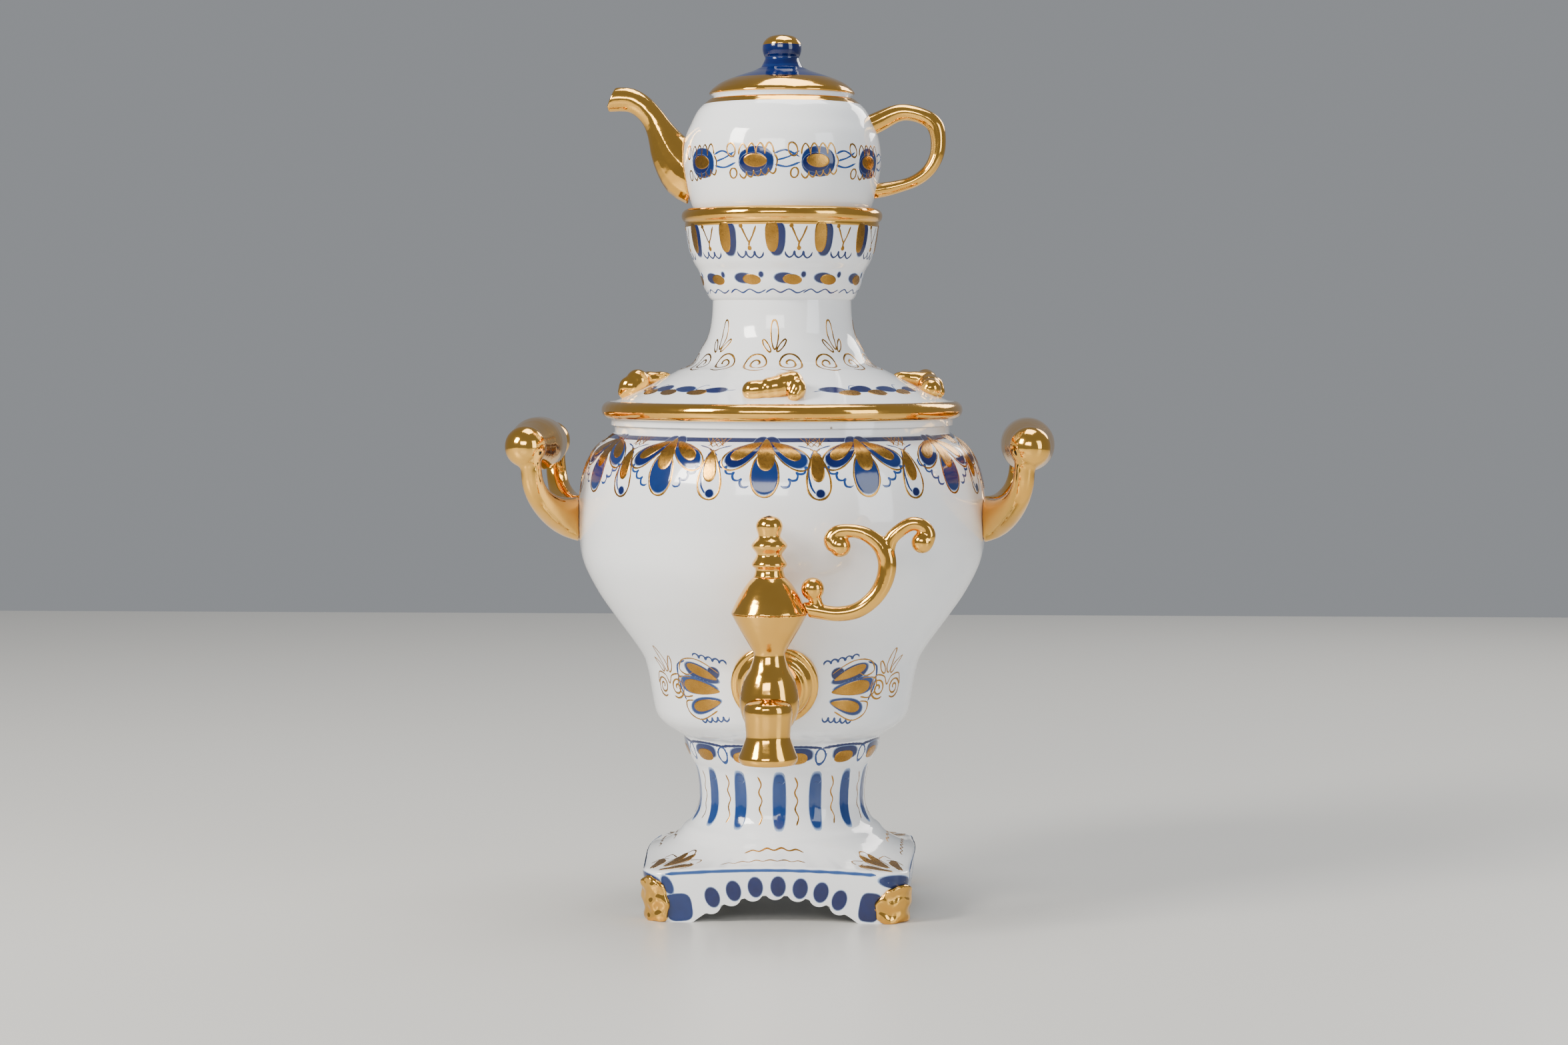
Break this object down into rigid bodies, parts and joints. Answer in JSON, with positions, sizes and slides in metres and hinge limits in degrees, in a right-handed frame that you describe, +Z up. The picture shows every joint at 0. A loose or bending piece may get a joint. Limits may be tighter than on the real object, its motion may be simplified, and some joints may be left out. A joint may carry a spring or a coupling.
{
  "type": "samovar set",
  "caption": "Footed porcelain samovar with side handles, a turning tap, a lift-off crown, and a small lidded teapot standing in the crown, painted in cobalt and gold.",
  "frame": {"origin": "on the vessel's axis, on the plane the foot stands on", "axes": "+Z up; the tap points towards -Y; the side handles and the teapot spout and handle lie along X, with the teapot spout towards -X"},
  "size_m": [0.244, 0.2164, 0.3894],
  "materials": {
    "porcelain": "gloss",
    "gilt": "gloss",
    "cobalt": "gloss"
  },
  "bodies": {
    "samovar": {"pedestal": "porcelain", "paw_front_left": "gilt", "paw_front_right": "gilt", "paw_back_left": "gilt", "paw_back_right": "gilt", "vessel": "porcelain", "tap_rosette": "gilt", "tap_barrel": "gilt", "tap_spout": "gilt", "handle_left": "gilt", "handle_right": "gilt"},
    "tap_key": {"tap_plug": "gilt", "tap_finial": "gilt", "tap_scroll": "gilt"},
    "crown": {"crown_skirt": "porcelain", "crown_gallery": "porcelain", "lug_front": "gilt", "lug_back": "gilt", "lug_left": "gilt", "lug_right": "gilt"},
    "teapot": {"teapot_body": "porcelain", "teapot_spout": "gilt", "teapot_handle": "gilt"},
    "lid": {"teapot_lid": "cobalt", "lid_knob": "cobalt"}
  },
  "joints": [
    {"name": "crown_lift", "type": "slide", "parent": "samovar", "child": "crown", "axis": [0, 0, 1], "range_m": [0, 0.06]},
    {"name": "teapot_lift", "type": "slide", "parent": "crown", "child": "teapot", "axis": [0, 0, 1], "range_m": [0, 0.06]},
    {"name": "teapot_lid_lift", "type": "slide", "parent": "teapot", "child": "lid", "axis": [0, 0, 1], "range_m": [0, 0.05]},
    {"name": "tap_turn", "type": "hinge", "parent": "samovar", "child": "tap_key", "pos_m": [0, -0.103, 0.1392], "axis": [0, 0, 1], "range_deg": [-180, 0]}
  ]
}
